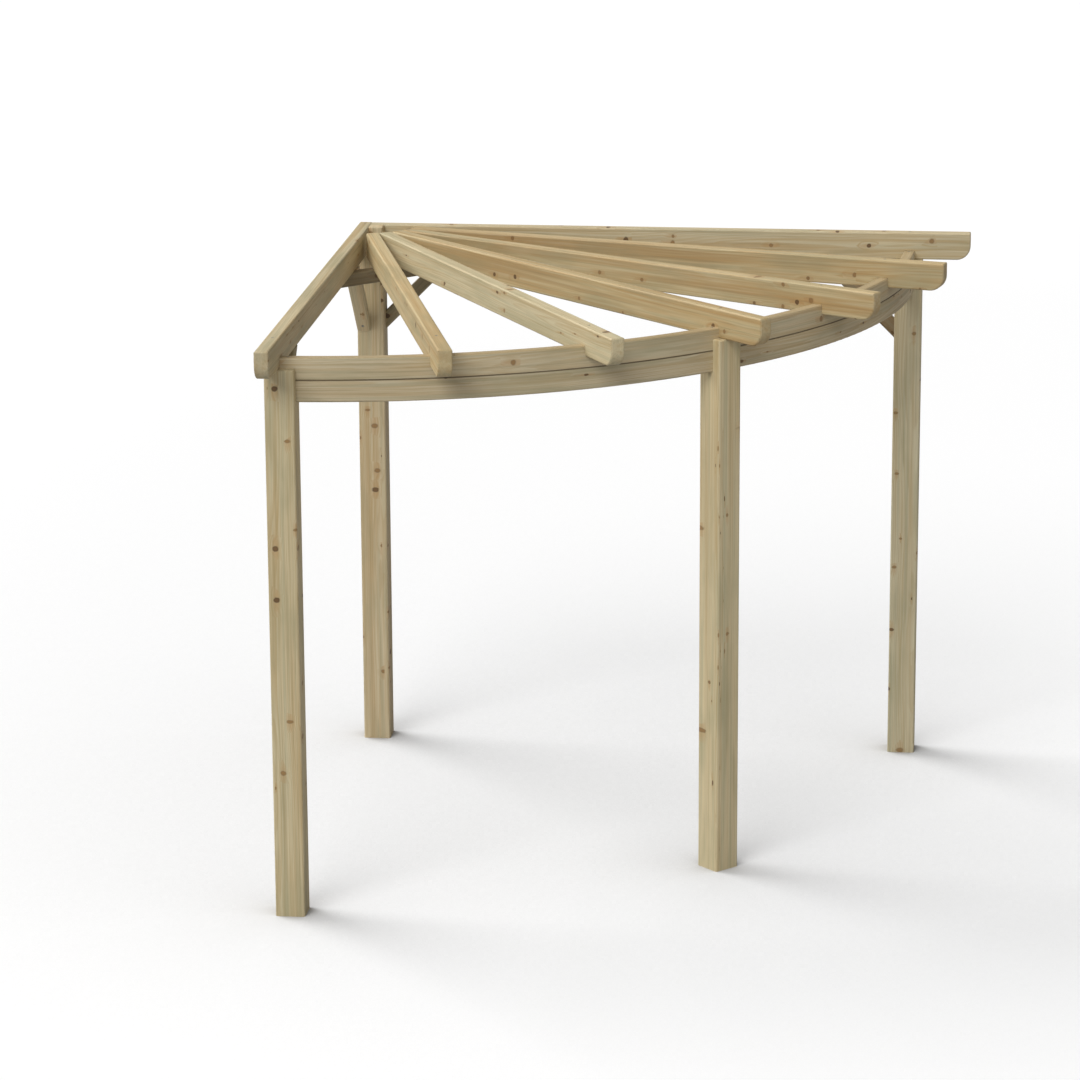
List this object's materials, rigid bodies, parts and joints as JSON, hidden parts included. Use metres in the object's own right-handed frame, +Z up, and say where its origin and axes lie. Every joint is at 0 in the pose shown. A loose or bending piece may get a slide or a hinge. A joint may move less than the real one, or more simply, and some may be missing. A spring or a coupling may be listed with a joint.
{
  "type": "pergola",
  "caption": "Corner pergola in timber, a quarter circle in plan: square posts carry curved beams and a fan of rafters, with knee braces under the straight sides.",
  "frame": {"origin": "middle of the corner post's foot, on the ground", "axes": "+Z up, +X along the right side to the right post, -Y along the left side to the left post; the curved front looks towards +X and -Y"},
  "size_m": [2.7173, 2.7173, 2.373],
  "materials": {
    "post_timber": "planed, pressure treated",
    "beam_timber": "sawn to a curve, pressure treated",
    "rafter_timber": "planed, pressure treated",
    "brace_timber": "planed, pressure treated",
    "screw_steel": "zinc plated, dull"
  },
  "bodies": {
    "root": {"corner_post": "post_timber", "left_post": "post_timber", "middle_post": "post_timber", "right_post": "post_timber", "left_beam_lower_board": "beam_timber", "left_beam_upper_board": "beam_timber", "right_beam_lower_board": "beam_timber", "right_beam_upper_board": "beam_timber", "left_edge_rafter": "rafter_timber", "fan_rafter_1": "rafter_timber", "fan_rafter_2": "rafter_timber", "fan_rafter_3": "rafter_timber", "fan_rafter_4": "rafter_timber", "fan_rafter_5": "rafter_timber", "right_edge_rafter": "rafter_timber", "fan_trimmer": "brace_timber", "corner_brace_left": "brace_timber", "corner_brace_right": "brace_timber", "left_post_brace": "brace_timber", "right_post_brace": "brace_timber", "post_top_screws": "screw_steel", "rafter_screws": "screw_steel", "beam_board_screws": "screw_steel", "beam_end_screws": "screw_steel", "trimmer_screws": "screw_steel", "brace_screws": "screw_steel", "corner_screws": "screw_steel"}
  },
  "joints": []
}
